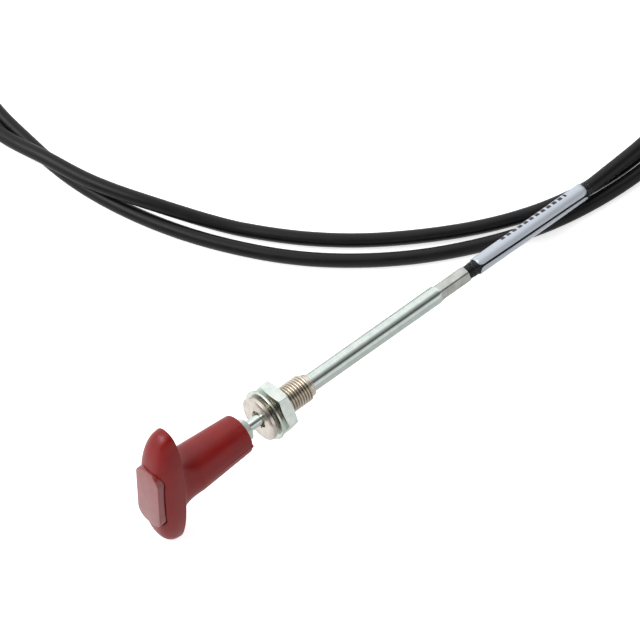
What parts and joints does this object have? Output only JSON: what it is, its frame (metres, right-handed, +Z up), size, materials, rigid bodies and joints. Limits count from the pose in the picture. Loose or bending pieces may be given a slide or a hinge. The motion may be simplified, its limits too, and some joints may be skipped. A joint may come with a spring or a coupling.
{
  "type": "push-pull stop cable",
  "caption": "Push-pull control cable with a red T handle, a threaded panel bushing with washer and nut, a steel guide tube and a looped black conduit.",
  "frame": {"origin": "on the table, under the middle of the handle and guide tube together, leaving the free cable out", "axes": "+Z up; +X runs in plan from the T handle to the cable; the pull axis falls 5.75 degrees towards +X"},
  "size_m": [0.3996, 0.3043, 0.0747],
  "materials": {
    "red_plastic": "moulded satin, dark red",
    "zinc": "bright zinc plate, cool white",
    "nickel": "turned, dull nickel plate",
    "brass": "turned",
    "steel": "spring steel",
    "black_pvc": "extruded satin, near black",
    "rubber": "moulded",
    "label": "printed wrap label, blue-grey white",
    "nylon": "extruded"
  },
  "bodies": {
    "cable_body": {"bushing": "nickel", "rod_seal": "rubber", "guide_tube": "zinc", "conduit_liner": "nylon", "conduit_start": "black_pvc", "label_wrap": "label", "conduit": "black_pvc", "coil_tie": "rubber", "conduit_end": "black_pvc", "end_ferrule": "zinc"},
    "wire_core": {"inner_wire": "steel"},
    "handle": {"handle_grip": "red_plastic", "handle_cap": "red_plastic", "handle_insert": "brass", "lock_nut": "zinc", "pull_rod": "zinc", "stop_collar": "steel"},
    "washer": {"panel_washer": "zinc"},
    "nut": {"panel_nut": "zinc"},
    "far_wire": {"end_wire": "steel", "wire_tip": "steel"}
  },
  "joints": [
    {"name": "handle_pull", "type": "slide", "parent": "cable_body", "child": "wire_core", "axis": [-0.995, 0, 0.1002], "range_m": [-0.006, 0.06]},
    {"name": "handle_turn", "type": "hinge", "parent": "wire_core", "child": "handle", "pos_m": [-0.0846, 0, 0.03745], "axis": [-0.995, 0, 0.1002], "range_deg": [-30, 30]},
    {"name": "washer_travel", "type": "slide", "parent": "cable_body", "child": "washer", "axis": [0.995, 0, -0.1002], "range_m": [-0.0006, 0.0136]},
    {"name": "nut_turn", "type": "hinge", "parent": "washer", "child": "nut", "pos_m": [-0.02291, 0, 0.03124], "axis": [0.995, 0, -0.1002], "range_deg": [-90, 3240]},
    {"name": "wire_travel", "type": "slide", "parent": "cable_body", "child": "far_wire", "axis": [0.741, -0.6715, 0], "range_m": [-0.007, 0.061]}
  ],
  "couplings": [
    {"joint": "washer_travel", "follows": "nut_turn", "m_per_rad": 0.00023873},
    {"joint": "wire_travel", "follows": "handle_pull", "ratio": 1}
  ]
}
